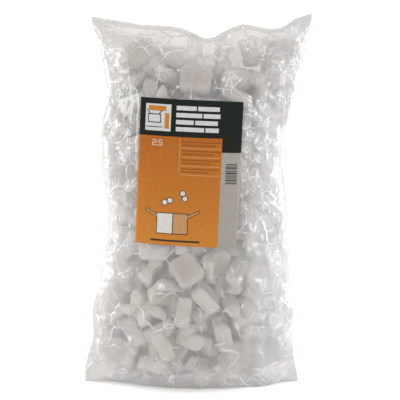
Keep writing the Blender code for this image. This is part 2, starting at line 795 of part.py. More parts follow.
def build():
    """Build the bag."""
    clear_scene()
    collection = make_collection("packing_peanut_bag")
    cutters = make_collection("guides_and_cutters")
    pillow = PillowShape()
    inside = build_film(pillow, collection, cutters)
    bpy.context.view_layer.update()
    build_label(pillow, collection)
    build_chips(pillow, inside, collection, cutters)


build()
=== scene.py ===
import math
import random

import bpy
import numpy as np
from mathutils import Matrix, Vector


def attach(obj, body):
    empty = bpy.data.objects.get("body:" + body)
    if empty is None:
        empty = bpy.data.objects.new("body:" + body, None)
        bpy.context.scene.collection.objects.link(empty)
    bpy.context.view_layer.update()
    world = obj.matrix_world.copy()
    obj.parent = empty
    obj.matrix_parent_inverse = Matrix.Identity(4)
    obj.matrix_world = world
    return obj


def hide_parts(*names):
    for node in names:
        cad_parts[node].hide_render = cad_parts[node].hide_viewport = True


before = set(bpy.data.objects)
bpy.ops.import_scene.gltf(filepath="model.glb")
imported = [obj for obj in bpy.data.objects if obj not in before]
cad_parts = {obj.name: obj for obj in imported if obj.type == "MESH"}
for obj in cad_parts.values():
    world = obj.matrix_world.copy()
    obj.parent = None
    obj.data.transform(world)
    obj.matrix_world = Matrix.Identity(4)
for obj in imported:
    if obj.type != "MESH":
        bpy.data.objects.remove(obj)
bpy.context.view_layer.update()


# Film tube: the shape that the chips are poured into.
# A lay-flat tube of clear polyethylene film, 188 x 341 mm, welded across its foot and its top. Filled,
# it stands on a flattened foot, bulges over the fill except behind the label, and its four flat corners
# stand out as ears.
FLAT_WIDTH = 0.188
FLAT_LENGTH = 0.341
FILM = 0.00035
WELD_WIDTH = 0.003
BODY_HALF_DEPTH = 0.038
FOOT_HALF_DEPTH = 0.035
FOOT_RADIUS = 0.020
BELLY_LENGTH = 0.120
SHOULDER_LENGTH = 0.050
FOOT_PRESS = 0.0022
TOP_EAR_RISE = 0.0185
FOOT_EAR_LIFT = 0.0028
LEFT_EAR_SHARPNESS = 3.0
RIGHT_EAR_SHARPNESS = 7.0
FOOT_PINCH = 1.05
FOOT_PINCH_START = 0.055
FOOT_PINCH_END = 0.145
TOP_EDGE_REACH = 0.110
BULGE_PITCH = 0.027
BULGE_HEIGHT = 0.0022
BULGE_RADIUS = 0.017
BULGE_MARGIN = 0.030
BULGE_SCATTER = 0.3
BULGE_LABEL_GAP = 0.0094
BULGE_SEED = 11
FILM_SAMPLES = 1400
SECTION_SAMPLES = 41
HALVINGS = 24
POINT_STEPS = 40
SIDE_SHARE = 0.999
LABEL_WIDTH = 0.087
LABEL_HEIGHT = 0.125
LABEL_X = -0.0070
LABEL_Z = 0.192
LABEL_TURN = math.radians(2.6)
TOP_EDGE = np.array([
    (-1.00, 0.0177), (-0.80, 0.0150), (-0.57, 0.0115), (-0.14, 0.0064), (-0.05, 0.0024), (0.00, 0.0002),
    (0.11, 0.0006), (0.20, 0.0050), (0.30, 0.0096), (0.74, 0.0094), (0.86, 0.0162), (1.00, 0.0206),
])
CENTRE_LINE = np.array([
    (0.000, -0.0048), (0.014, -0.0060), (0.040, -0.0045), (0.080, -0.0032), (0.115, -0.0002),
    (0.160, -0.0002), (0.200, -0.0048), (0.225, -0.0032), (0.255, 0.0032), (0.330, 0.0038),
])


def smooth_step(value, start, end):
    """Rise from 0 at start to 1 at end: 3 s² - 2 s³ of the share s of the way."""
    share = np.clip((value - start) / (end - start), 0.0, 1.0)
    return share * share * (3.0 - 2.0 * share)


def smooth_curve(value, knots):
    """Cubic curve through the knots, with each knot's slope taken from its two neighbours."""
    place, level = knots.T
    slope = np.gradient(level, place)
    low = np.clip(np.searchsorted(place, value) - 1, 0, len(place) - 2)
    span = place[low + 1] - place[low]
    share = np.clip((value - place[low]) / span, 0.0, 1.0)
    rise = level[low + 1] - level[low]
    bend = (slope[low] * span - rise) * (1.0 - share) + (rise - slope[low + 1] * span) * share
    return level[low] + rise * share + share * (1.0 - share) * bend


def half_depth(along):
    """Half depth at a film length above the foot weld: flat floor, round corner, belly, tanh shoulder."""
    floor_end = FOOT_HALF_DEPTH - FOOT_RADIUS
    turn = np.clip((along - floor_end) / FOOT_RADIUS, 0.0, math.pi / 2)
    corner_end = floor_end + FOOT_RADIUS * math.pi / 2
    belly = smooth_step(along, corner_end, corner_end + BELLY_LENGTH) * (BODY_HALF_DEPTH - FOOT_HALF_DEPTH)
    foot = np.minimum(along, floor_end) + FOOT_RADIUS * np.sin(turn) + belly
    below_weld = np.maximum(FLAT_LENGTH - WELD_WIDTH - along, 0.0)
    return np.maximum(foot * np.tanh(below_weld / SHOULDER_LENGTH), FILM)


film_along = np.linspace(0.0, FLAT_LENGTH, FILM_SAMPLES)
film_depth = half_depth(film_along)
film_rise = np.sqrt(np.maximum(np.diff(film_along) ** 2 - np.diff(film_depth) ** 2, 0.0))
film_middle = np.concatenate([[0.0], np.cumsum(film_rise)])
film_pinch = 1.0 + FOOT_PINCH * (1.0 - smooth_step(film_along, FOOT_PINCH_START, FOOT_PINCH_END))


def half_width():
    """Half width at which a quarter of the section is as long as half the flat tube, by halving."""
    turn = np.linspace(0.0, math.pi / 2, SECTION_SAMPLES)
    depth = film_depth[:, None] * np.sin(turn) ** film_pinch[:, None]
    low = np.full(len(film_along), FLAT_WIDTH / 4)
    high = np.full(len(film_along), FLAT_WIDTH / 2)
    for _ in range(HALVINGS):
        middle = (low + high) / 2
        quarter = np.hypot(np.diff(middle[:, None] * np.cos(turn)), np.diff(depth)).sum(axis=1)
        high = np.where(quarter > FLAT_WIDTH / 2, middle, high)
        low = np.where(quarter > FLAT_WIDTH / 2, low, middle)
    return (low + high) / 2


film_width = half_width()


def film_point(share, along):
    """Place of the film at a share of the half width and a film length: x, half depth and z.

    The middle of the bag rises as the film runs; towards each side the height goes over to that of
    the straight side fold, by a power of the share, and at the top to the drawn top edge.
    """
    middle = np.interp(along, film_along, film_middle)
    side_height = FOOT_EAR_LIFT + along / FLAT_LENGTH * (film_middle[-1] + TOP_EAR_RISE - FOOT_EAR_LIFT)
    ear = np.abs(share) ** np.where(share < 0.0, LEFT_EAR_SHARPNESS, RIGHT_EAR_SHARPNESS)
    top = smooth_step(along, FLAT_LENGTH - TOP_EDGE_REACH, FLAT_LENGTH)
    z = middle + (1.0 - top) * (side_height - middle) * ear + top * smooth_curve(share, TOP_EDGE)
    z = np.maximum(z - FOOT_PRESS * (1.0 - top), 0.0)
    x = share * np.interp(along, film_along, film_width) + smooth_curve(z, CENTRE_LINE)
    pinch = np.interp(along, film_along, film_pinch)
    depth = np.interp(along, film_along, film_depth) * np.maximum(1.0 - share**2, 0.0) ** (pinch / 2)
    return x, depth, z


def bulge_centres():
    """Centres of the bulges on a loose grid: side, x and z, clear of the label."""
    rng = random.Random(BULGE_SEED)
    rows = int((film_middle[-1] - 2 * BULGE_MARGIN) / BULGE_PITCH) + 1
    columns = int(FLAT_WIDTH / BULGE_PITCH) + 1
    centres = []
    for side in (-1, 1):
        for row in range(rows):
            for column in range(columns):
                x = (column - (columns - 1) / 2 + rng.uniform(-BULGE_SCATTER, BULGE_SCATTER)) * BULGE_PITCH
                z = BULGE_MARGIN + (row + rng.uniform(-BULGE_SCATTER, BULGE_SCATTER)) * BULGE_PITCH
                if side == 1 or past_label(x, z) > BULGE_RADIUS + BULGE_LABEL_GAP:
                    centres.append((side, x, z))
    return centres


def past_label(x, z):
    """How far a point lies outside the label's leaning edges."""
    across = (x - LABEL_X) * math.cos(LABEL_TURN) - (z - LABEL_Z) * math.sin(LABEL_TURN)
    up = (x - LABEL_X) * math.sin(LABEL_TURN) + (z - LABEL_Z) * math.cos(LABEL_TURN)
    return np.maximum(np.abs(across) - LABEL_WIDTH / 2, np.abs(up) - LABEL_HEIGHT / 2)


def bulge(side, x, z):
    """Push of the film over the fill: (1 - r²)² round the nearest centre, fading at foot and top."""
    push = np.zeros_like(x)
    for bulge_side, bulge_x, bulge_z in bulge_centres():
        if bulge_side == side:
            reach = np.hypot(x - bulge_x, z - bulge_z) / BULGE_RADIUS
            push = np.maximum(push, np.maximum(1.0 - reach**2, 0.0) ** 2)
    fade = smooth_step(z, 0.5 * BULGE_MARGIN, 1.5 * BULGE_MARGIN)
    fade = fade * smooth_step(film_middle[-1] - z, 0.3 * BULGE_MARGIN, BULGE_MARGIN)
    return BULGE_HEIGHT * push * fade


def film_front(x, z):
    """Half depth of the film at x and z: share and film length step towards the point."""
    share = np.zeros_like(x)
    along = np.full_like(z, 0.5 * FLAT_LENGTH)
    for _ in range(POINT_STEPS):
        film_x, depth, film_z = film_point(share, along)
        width = np.interp(along, film_along, film_width)
        share = np.clip(share + (x - film_x) / width, -SIDE_SHARE, SIDE_SHARE)
        along = np.clip(along + (z - film_z), 0.0, FLAT_LENGTH)
    return film_point(share, along)[1]


# Foam chips that show at the front.
# Loose-fill chips of expanded polystyrene: each is a short length of a two-lobed strand, a figure of
# eight or a kidney, with soft cut ends. Each stands where its CAD chip is seated against the film.
CHIP_WIDTH = 0.0250
CHIP_THICKNESS = 0.0135
CHIP_LENGTH = 0.0270
CHIP_WAIST = 0.46
CHIP_BEND = 0.0050
OUTLINE_SAMPLES = 721
POLE_BEND = 0.3
POLE_REACH = 0.985
# These numbers and the two chip colours below paint light onto the chips: a painted highlight on the lobes'
# sides and cut ends, and painted shade in the grooves between the lobes.
PAINTED_LIGHT_BASE = 0.45
LOBE_PAINTED_HIGHLIGHT = 0.35
GROOVE_PAINTED_SHADE = 0.40
END_PAINTED_HIGHLIGHT = 0.70
POLE_PAINTED_LIGHT = 0.5
LEAST_SKEW = 0.0004
FRONT_AROUND = 26
FRONT_RINGS = [
    (0.30, -0.965), (0.54, -1.0), (0.70, -0.985), (0.83, -0.925), (0.93, -0.82), (1.0, -0.62), (0.97, 0.0),
    (1.0, 0.62), (0.93, 0.82), (0.83, 0.925), (0.70, 0.985), (0.54, 1.0), (0.30, 0.965),
]
FRONT_END_PAINTED_LIGHT = [0.1, 0.3, 0.7, 1.0, 0.8, 0.3, 0.0, 0.3, 0.8, 1.0, 0.7, 0.3, 0.1]
# Painted shade for the chips' grooves, then a painted highlight for their lobes and cut ends.
CHIP_GROOVE_PAINTED_SHADE = (0.75, 0.665, 0.600)
CHIP_RIM_PAINTED_HIGHLIGHT = (0.98, 0.955, 0.93)


def chip_form(around, rings, bend):
    """Chip as rings of its section carried along it, closed by a pole at each end.

    Across is half the width times cos t; thickness is sin t plus the waist times sin 3t; the bend
    lifts the middle and lowers the lobes by cos² t. Each ring has its own scale and length.
    """
    fine = np.linspace(0.0, 2 * math.pi, OUTLINE_SAMPLES)
    widest = (np.sin(fine) + CHIP_WAIST * np.sin(3 * fine)).max()
    turn = np.arange(around) * 2 * math.pi / around
    across = CHIP_WIDTH / 2 * np.cos(turn)
    thick = CHIP_THICKNESS / 2 * (np.sin(turn) + CHIP_WAIST * np.sin(3 * turn)) / widest
    scale, length = np.array(rings).T
    x = scale[:, None] * across
    y = scale[:, None] * (thick + bend * (0.5 - np.cos(turn) ** 2))
    z = np.broadcast_to(length[:, None] * CHIP_LENGTH / 2, x.shape)
    ends = [(0.0, POLE_BEND * bend, POLE_REACH * level * CHIP_LENGTH / 2) for level in (-1.0, 1.0)]
    return np.concatenate([np.stack([x, y, z], -1).reshape(-1, 3), ends])


def tube_faces(around, rings):
    """Faces of a closed tube of rings, as quads between rings and triangles to the two poles."""
    column = np.arange(around)
    after = (column + 1) % around
    row = np.arange(rings - 1)[:, None] * around
    quads = np.stack([row + column, row + after, row + around + after, row + around + column], -1)
    first = np.full(around, rings * around)
    low = np.stack([first, after, column], -1)
    last = (rings - 1) * around
    high = np.stack([first + 1, last + column, last + after], -1)
    return quads.reshape(-1, 4), np.concatenate([low, high])


def painted_rim_light(around, ends):
    """Share of the painted highlight, against the painted shade, at each point of a chip.

    It is a base, with cos⁴ t more painted highlight on the lobes' sides, sin⁸ t more painted shade in the
    grooves between them, and most painted highlight on the cut ends.
    """
    turn = np.arange(around) * 2 * math.pi / around
    level = PAINTED_LIGHT_BASE + LOBE_PAINTED_HIGHLIGHT * np.cos(turn) ** 4 - GROOVE_PAINTED_SHADE * np.sin(turn) ** 8
    level = level + END_PAINTED_HIGHLIGHT * np.array(ends)[:, None]
    return np.append(np.clip(level, 0.0, 1.0), [POLE_PAINTED_LIGHT, POLE_PAINTED_LIGHT])


def show(name, points, faces, material):
    """Put points and faces into a new smooth mesh object at the origin."""
    mesh = bpy.data.meshes.new(name)
    mesh.from_pydata(points.tolist(), [], [face for part in faces for face in part.tolist()])
    mesh.materials.append(material)
    mesh.shade_smooth()
    piece = bpy.data.objects.new(name, mesh)
    bpy.context.scene.collection.objects.link(piece)
    return piece


def give(piece, name, values):
    """Store one number for each point of a piece."""
    piece.data.attributes.new(name, "FLOAT", "POINT").data.foreach_set("value", values.ravel())


def new_finish(name):
    """New material with only its output node; returns the material and its tree."""
    finish = bpy.data.materials.new(name)
    finish.use_nodes = True
    finish.node_tree.nodes.clear()
    finish.node_tree.nodes.new("ShaderNodeOutputMaterial")
    return finish, finish.node_tree


def add(tree, kind, inputs=None, **settings):
    """Add a node; an input is given a plain value, or linked where it is another node's socket."""
    node = tree.nodes.new(kind)
    for name, value in settings.items():
        setattr(node, name, value)
    for name, value in (inputs or {}).items():
        if isinstance(value, bpy.types.NodeSocket):
            tree.links.new(value, node.inputs[name])
        else:
            node.inputs[name].default_value = value
    return node


def calc(tree, operation, *values):
    """Math node on numbers or sockets; returns its result."""
    return add(tree, "ShaderNodeMath", dict(enumerate(values)), operation=operation).outputs[0]


def ramp(tree, value, start, end, low=0.0, high=1.0):
    """Straight rise or fall from low at start to high at end, level outside them."""
    return add(tree, "ShaderNodeMapRange", {
        "Value": value, "From Min": start, "From Max": end, "To Min": low, "To Max": high,
    }).outputs["Result"]


def mixed(tree, share, first, second):
    """Colour that goes from the first, at a share of 0, to the second, at 1."""
    blend = add(tree, "ShaderNodeMix", {"Factor": share, "A": first, "B": second}, data_type="RGBA")
    return blend.outputs[2]


def shaded(tree, colour, share):
    """Colour times a share."""
    scaled = add(tree, "ShaderNodeVectorMath", {0: colour, "Scale": share}, operation="SCALE")
    return scaled.outputs["Vector"]


def dented(tree, height, strength, distance, normal=None):
    """Normal of a surface with a bump, on top of another bump's normal where one is given."""
    inputs = {"Height": height, "Strength": strength, "Distance": distance}
    if normal is not None:
        inputs["Normal"] = normal
    return add(tree, "ShaderNodeBump", inputs).outputs["Normal"]


def make_foam():
    """Foam: fused beads under a thin skin, with a painted highlight along the lobes and cut ends and painted
    shade in the grooves.
    """
    finish, tree = new_finish("white_foam_cells")
    place = add(tree, "ShaderNodeTexCoord").outputs["Object"]
    beads = add(tree, "ShaderNodeTexVoronoi", {"Vector": place, "Scale": 620.0}, feature="SMOOTH_F1")
    skin = add(tree, "ShaderNodeTexNoise", {"Vector": place, "Scale": 210.0, "Detail": 3.0})
    batch = add(tree, "ShaderNodeTexNoise", {"Vector": place, "Scale": 38.0, "Detail": 1.0})
    # Painted light: the chips' colour goes from painted shade in the grooves to a painted highlight on the
    # lobes and cut ends.
    painted_light = add(tree, "ShaderNodeAttribute", attribute_name="painted_light").outputs["Fac"]
    colour = mixed(tree, painted_light, (*CHIP_GROOVE_PAINTED_SHADE, 1.0), (*CHIP_RIM_PAINTED_HIGHLIGHT, 1.0))
    colour = shaded(tree, colour, ramp(tree, batch.outputs["Fac"], 0.3, 0.7, 0.90, 1.06))
    beaded = dented(tree, beads.outputs["Distance"], 0.35, 0.0006)
    foam = add(tree, "ShaderNodeBsdfPrincipled", {
        "Base Color": colour, "Roughness": 0.62,
        "Normal": dented(tree, skin.outputs["Fac"], 0.5, 0.0008, beaded),
        "Subsurface Weight": 0.45, "Subsurface Scale": 0.006, "Subsurface Radius": (1.0, 0.95, 0.9),
        "Sheen Weight": 0.5, "Sheen Roughness": 0.3,
    })
    tree.links.new(foam.outputs[0], tree.nodes["Material Output"].inputs["Surface"])
    return finish


def chip_seat(node):
    """Middle, turn and bend of a seated CAD chip, from the mean and the spread of its corners.

    They spread least through its thickness, more across its lobes and most along its length. A bent
    chip's lobes lie to one side, and the direction of its thickness is turned away from them.
    """
    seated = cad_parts[node].data
    corners = np.empty(len(seated.vertices) * 3)
    seated.vertices.foreach_get("co", corners)
    corners = np.unique(np.round(corners.reshape(-1, 3), 7), axis=0)
    middle = corners.mean(axis=0)
    axes = np.linalg.eigh(np.cov((corners - middle).T))[1]
    axes = np.stack([axes[:, 1], axes[:, 0], axes[:, 2]], axis=1)
    local = (corners - middle) @ axes
    skew = (local[:, 0] ** 2 * local[:, 1]).mean() / (local[:, 0] ** 2).mean()
    axes[:, 1] *= -1.0 if skew > 0.0 else 1.0
    axes[:, 2] = np.cross(axes[:, 0], axes[:, 1])
    return middle, axes, CHIP_BEND if abs(skew) > LEAST_SKEW else 0.0


foam_finish = make_foam()
front_faces = tube_faces(FRONT_AROUND, len(FRONT_RINGS))
front_painted_light = painted_rim_light(FRONT_AROUND, FRONT_END_PAINTED_LIGHT)
chip_nodes = sorted(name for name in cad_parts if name.startswith("chip_") and name != "chip_heap")
chip_places = [chip_seat(node) for node in chip_nodes]
for chip_node, (middle, axes, bend) in zip(chip_nodes, chip_places):
    form = chip_form(FRONT_AROUND, FRONT_RINGS, bend) @ axes.T + middle
    chip = show(f"foam_{chip_node}", form, front_faces, foam_finish)
    give(chip, "painted_light", front_painted_light)
    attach(chip, "root")
    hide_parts(chip_node)


# Foam chips behind them.
# The rest of the fill: 160 more chips of the same two kinds. 104 of them are tumbled in and settled
# against each other and the film, and 56 go where those leave room. One piece stands for the fused heap.
LOOSE_CHIPS = 104
LOOSE_SEED = 21
LOOSE_LOW = (-0.40 * FLAT_WIDTH, -0.25 * BODY_HALF_DEPTH, CHIP_THICKNESS)
LOOSE_HIGH = (0.40 * FLAT_WIDTH, 0.80 * BODY_HALF_DEPTH, film_middle[-1] - CHIP_LENGTH)
LOOSE_AROUND = 12
LOOSE_RINGS = [(0.64, -1.0), (1.0, -0.70), (1.0, 0.70), (0.64, 1.0)]
# Share of painted highlight on each ring of a loose chip.
LOOSE_END_PAINTED_LIGHT = [0.5, 0.4, 0.4, 0.5]
LOOSE_LEAST_HEIGHT = 0.001
BENT_SHARE = 0.5
LOBE_RADIUS = CHIP_THICKNESS / 2
LOBE_ACROSS = CHIP_WIDTH / 2 - LOBE_RADIUS
LOBE_ALONG = CHIP_LENGTH / 2 - LOBE_RADIUS
LOBE_GAP = 0.0005
SEATED_LOBE_GAP = 0.0030
CHIP_GAP = 0.0003
CORE_INSET = 0.0115
LEAST_OPENING = 0.00015
SETTLE_STEPS = 160
PUSH_SHARE = 0.3
STEP_SHARE = 1.3
VOID_TRIES = 7000
VOID_LOW = (-0.46 * FLAT_WIDTH, -0.80 * BODY_HALF_DEPTH, 0.012)
VOID_HIGH = (0.46 * FLAT_WIDTH, 0.80 * BODY_HALF_DEPTH, 0.318)
VOID_OVERLAP = 0.0058
FRONT_MARGIN = 1.35 * LOBE_RADIUS
BACK_MARGIN = LOBE_RADIUS
SIDE_MARGIN = 1.5 * LOBE_RADIUS
UPPER_MARGIN = 0.62 * LOBE_RADIUS
UPPER_ZONE = (0.262, 0.290)


def lobes(bend):
    """Middles of the four balls in a chip, one in each end of each lobe."""
    return np.array([(a * LOBE_ACROSS, -bend / 4, b * LOBE_ALONG) for a in (-1, 1) for b in (-1, 1)])


def inward(balls):
    """Step that brings each ball into the bag's section at its height."""
    z = np.clip(balls[:, 2], LOBE_RADIUS + 2 * CHIP_GAP, film_middle[-1] - 2 * LOBE_RADIUS - CORE_INSET)
    depth = np.interp(z, film_middle, film_depth) - LOBE_RADIUS - 2 * CHIP_GAP
    width = np.interp(z, film_middle, film_width) - 2 * LOBE_RADIUS
    middle = smooth_curve(z, CENTRE_LINE)
    pinch = np.interp(z, film_middle, film_pinch)
    share = np.clip(np.abs(balls[:, 0] - middle) / width, 0.0, SIDE_SHARE)
    depth = np.maximum(depth * (1.0 - share**2) ** (pinch / 2), LEAST_OPENING)
    x = np.clip(balls[:, 0], middle - width, middle + width)
    y = np.clip(balls[:, 1], -depth, depth)
    return np.stack([x, y, z], axis=-1) - balls


def swung(turns, swing):
    """Rotations after a small swing each: the swing's cross product is added, and made square again."""
    moved = turns + np.cross(swing[:, None, :], turns.transpose(0, 2, 1)).transpose(0, 2, 1)
    first = moved[:, :, 0] / np.linalg.norm(moved[:, :, 0], axis=1)[:, None]
    second = moved[:, :, 1] - first * (first * moved[:, :, 1]).sum(axis=1)[:, None]
    second = second / np.linalg.norm(second, axis=1)[:, None]
    return np.stack([first, second, np.cross(first, second)], axis=-1)


def tumbled(rng, count, low, high):
    """Chips at random: places in a box, turns from the square part of a random matrix, and bends."""
    bends = np.where(rng.random(count) < BENT_SHARE, CHIP_BEND, 0.0)
    turns = np.linalg.qr(rng.normal(size=(count, 3, 3)))[0]
    turns[:, :, 2] *= np.linalg.det(turns)[:, None]
    return rng.uniform(low, high, (count, 3)), turns, bends


def settle_chips():
    """Place, turn and bend of each loose chip.

    Balls that overlap push apart by their overlap; each chip takes the mean of its four pushes as a
    step and their moment as a swing, and a ball outside the bag is pushed back in.
    """
    rng = np.random.default_rng(LOOSE_SEED)
    fixed = np.concatenate([middle + lobes(bend) @ axes.T for middle, axes, bend in chip_places])
    places, turns, bends = tumbled(rng, LOOSE_CHIPS, LOOSE_LOW, LOOSE_HIGH)
    local = np.stack([lobes(bend) for bend in bends])
    owner = np.repeat(np.arange(LOOSE_CHIPS), 4)
    same = owner[:, None] == np.concatenate([owner, np.full(len(fixed), -1)])
    gaps = [np.full(len(owner), LOBE_GAP), np.full(len(fixed), SEATED_LOBE_GAP)]
    spacing = CHIP_THICKNESS + np.concatenate(gaps)
    moment = 4 * (LOBE_ACROSS**2 + LOBE_ALONG**2)
    for _ in range(SETTLE_STEPS):
        arms = local @ turns.transpose(0, 2, 1)
        balls = (arms + places[:, None]).reshape(-1, 3)
        apart = balls[:, None] - np.concatenate([balls, fixed])
        far = np.linalg.norm(apart, axis=2) + 1e-9
        press = np.where(same, 0.0, np.maximum(spacing - far, 0.0))
        push = PUSH_SHARE * (apart / far[..., None] * press[..., None]).sum(axis=1)
        push = (push + inward(balls)).reshape(-1, 4, 3)
        places = places + STEP_SHARE * push.mean(axis=1)
        turns = swung(turns, np.cross(arms, push).sum(axis=1) / moment)
    return list(zip(places, turns, bends))


def gap_between(balls, others):
    """Least gap between each chip's four balls and any of the others, below 0 where they overlap."""
    return np.linalg.norm(balls[:, :, None] - others, axis=3).min(axis=(1, 2)) - CHIP_THICKNESS


def room_inside(balls):
    """Least room that each chip's four balls leave to the film, on all sides and above the floor."""
    x, y, z = np.moveaxis(balls, -1, 0)
    upper = smooth_step(z, *UPPER_ZONE)
    margin = np.where(y < 0.0, FRONT_MARGIN, BACK_MARGIN) * (1.0 - upper) + UPPER_MARGIN * upper
    room = film_front(x, z) - np.abs(y) - margin
    beside = np.interp(z, film_middle, film_width) - np.abs(x - smooth_curve(z, CENTRE_LINE)) - SIDE_MARGIN
    return np.minimum(np.minimum(room, beside), z - LOBE_RADIUS).min(axis=1)


def fill_voids(placed):
    """More chips for what the settled ones leave open, also high up under the top weld.

    Many chips are tried inside the film, and one by one the chip is taken whose balls are farthest
    from all balls so far, until the best one would sink into its neighbours.
    """
    rng = np.random.default_rng(LOOSE_SEED + 1)
    taken = np.concatenate([middle + lobes(bend) @ axes.T for middle, axes, bend in placed])
    places, turns, bends = tumbled(rng, VOID_TRIES, VOID_LOW, VOID_HIGH)
    arms = np.stack([lobes(bend) for bend in bends]) @ turns.transpose(0, 2, 1)
    balls = arms + places[:, None]
    inside = np.flatnonzero(room_inside(balls) > 0.0)
    balls, turns, places, bends = balls[inside], turns[inside], places[inside], bends[inside]
    gap = gap_between(balls, taken)
    chosen = []
    while gap.max() > -VOID_OVERLAP:
        best = int(np.argmax(gap))
        chosen.append((places[best], turns[best], bends[best]))
        gap = np.minimum(gap, gap_between(balls, balls[best]))
        gap[best] = -1.0
    return chosen


def stand_clear(form):
    """Chip lifted, where it has to be, to a least height above the floor."""
    return form + (0.0, 0.0, max(0.0, LOOSE_LEAST_HEIGHT - form[:, 2].min()))


loose_places = settle_chips()
loose_places = loose_places + fill_voids(chip_places + loose_places)
loose_forms = []
for middle, axes, bend in loose_places:
    loose_forms.append(stand_clear(chip_form(LOOSE_AROUND, LOOSE_RINGS, bend) @ axes.T + middle))
shift = np.arange(len(loose_places))[:, None, None] * len(loose_forms[0])
one_chip = tube_faces(LOOSE_AROUND, len(LOOSE_RINGS))
loose_faces = [(part + shift).reshape(-1, part.shape[1]) for part in one_chip]
loose = show("loose_chips", np.concatenate(loose_forms), loose_faces, foam_finish)
give(loose, "painted_light", np.tile(painted_rim_light(LOOSE_AROUND, LOOSE_END_PAINTED_LIGHT), len(loose_places)))
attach(loose, "root")
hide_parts("chip_heap")


# Film bag, drawn over the chips.
# The film itself, 50 microns of clear polyethylene: it hangs from chip to chip like a membrane, lies
# smooth behind the label, and is crumpled where it is slack: down both sides, at its top and its foot.
FILM_COLUMNS = 160
FILM_ROWS = 278
FILM_SUCK = 0.0016
FILM_CLEAR = 0.0003
ARC_SAMPLES = 2001
MOST_LIFT = 0.0045
LEAST_DEPTH = 0.00012
FREE_ABOVE_FOOT = (0.012, 0.050)
FREE_BELOW_TOP = (0.010, 0.045)
FREE_FROM_SIDES = (0.0, 0.10)
LEAST_FREE = 0.02
MEMBRANE_STEPS = 220
MEMBRANE_PULL = 0.025
TABLE_SHAPE = (240, 360)
TABLE_CORNER = (0.12, 0.01)
CELLS_PER_METRE = 1000
FINE_AROUND = 64
FINE_RINGS = [(0.3, -1.0), (0.6, -1.0), (0.86, -0.985), (0.96, -0.93)]
FINE_RINGS += [(1.0, level) for level in np.linspace(-0.84, 0.84, 20)]
FINE_RINGS += [(0.96, 0.93), (0.86, 0.985), (0.6, 1.0), (0.3, 1.0)]
LABEL_FLAT = (0.001, 0.007)
LABEL_SMOOTH = (0.0, 0.006)
NOISE_CELLS = 64
RAGGED_REACH = 0.22
RAGGED_SIZE = (0.016, 0.022)
RAGGED_SEED = 13
# Where the film turns from tight to slack: shares of the half width, and lengths from the welds.
RIGHT_SLACK = (0.45, 0.72)
LEFT_SLACK = (0.58, 0.84)
TOP_SLACK = (0.060, 0.018)
FOOT_SLACK = (0.065, 0.030)
FOOT_CORNERS = (0.2, 0.7)
LEFT_SLACKNESS = 0.6
TOP_SLACKNESS = 0.45
FOOT_SLACKNESS = 0.8
FOOT_MIDDLE = 0.6
CREASE_SEED = 4
# Height, width, length and lean of each size of fold.
CREASES = [
    (0.0010, 0.016, 0.055, 0.35), (0.0011, 0.011, 0.034, -0.75),
    (0.0008, 0.007, 0.019, 1.20), (0.0005, 0.004, 0.012, 0.10),
]
CREASES_ABOVE_FOOT = (0.004, 0.020)
CREASES_BELOW_TOP = (0.002, 0.012)
CREASES_FROM_SIDES = (0.0, 0.05)
SLACK_CREASING = 1.5
FRONT_CREASING = 0.10
BACK_CREASING = 0.16
BACK_SHIFT = 0.4
BACK_SEEDS = 100
SWAY_SEED = 11
SWAY_PITCH = 0.013
SWAY_REACH = 0.0022
SWAY_SHARE = (0.90, 1.0)
SWAY_ENDS = (0.010, 0.030)
FLARE_REACH = 0.0026
FLARE_RISE = (0.016, 0.038)
FLARE_FALL = (0.062, 0.092)
FILM_TINT = (0.912, 0.878, 0.842)
HAZE_COLOUR = (0.925, 0.930, 0.94)
TIGHT_HAZE = 0.21
SLACK_HAZE = 0.54
# Whitening on the crease lines: partly stress whitening of the film, partly a painted highlight.
CREASE_WHITENING_AND_PAINTED_HIGHLIGHT = 0.52
TIGHT_CRINKLE = 0.16
SLACK_CRINKLE = 0.85
MIRROR_GAIN = 1.7
MOST_MIRROR = 0.35


def noise(x, y, seed):
    """Smooth value noise between 0 and 1: random numbers on a unit lattice, blended by 3 s² - 2 s³."""
    lattice = np.random.default_rng(seed).random((NOISE_CELLS, NOISE_CELLS))
    column = np.floor(x).astype(int)
    row = np.floor(y).astype(int)
    across = smooth_step(x - column, 0.0, 1.0)
    up = smooth_step(y - row, 0.0, 1.0)
    left, right = column % NOISE_CELLS, (column + 1) % NOISE_CELLS
    foot, head = row % NOISE_CELLS, (row + 1) % NOISE_CELLS
    low = lattice[left, foot] * (1 - across) + lattice[right, foot] * across
    high = lattice[left, head] * (1 - across) + lattice[right, head] * across
    return low * (1 - up) + high * up


def creases(x, z, width, length, lean, seed):
    """Sharp folds: one minus the folded-over noise, drawn out along a leaning direction."""
    across = x * math.cos(lean) - z * math.sin(lean)
    up = x * math.sin(lean) + z * math.cos(lean)
    sway = noise(across / (3 * width), up / length, seed + 50) * 2.0
    return 1.0 - np.abs(2.0 * noise(across / width + sway, up / length, seed) - 1.0)


def table_cell(x, z):
    """Column and row of a place in the 1 mm table of the chips' reach."""
    column = ((x + TABLE_CORNER[0]) * CELLS_PER_METRE).astype(int)
    row = ((z + TABLE_CORNER[1]) * CELLS_PER_METRE).astype(int)
    return np.clip(column, 0, TABLE_SHAPE[0] - 1), np.clip(row, 0, TABLE_SHAPE[1] - 1)


def reach_of_chips(side):
    """How far the chips reach out on one side, on a table over x and z, spread by one cell all round."""
    table = np.full(TABLE_SHAPE, -1.0)
    forms = {bend: chip_form(FINE_AROUND, FINE_RINGS, bend) for bend in (0.0, CHIP_BEND)}
    for middle, axes, bend in chip_places + loose_places:
        x, y, z = (forms[bend] @ axes.T + middle).T
        np.maximum.at(table, table_cell(x, z), side * y)
    for axis in (0, 1):
        table = np.maximum(np.maximum(np.roll(table, 1, axis), np.roll(table, -1, axis)), table)
    return table


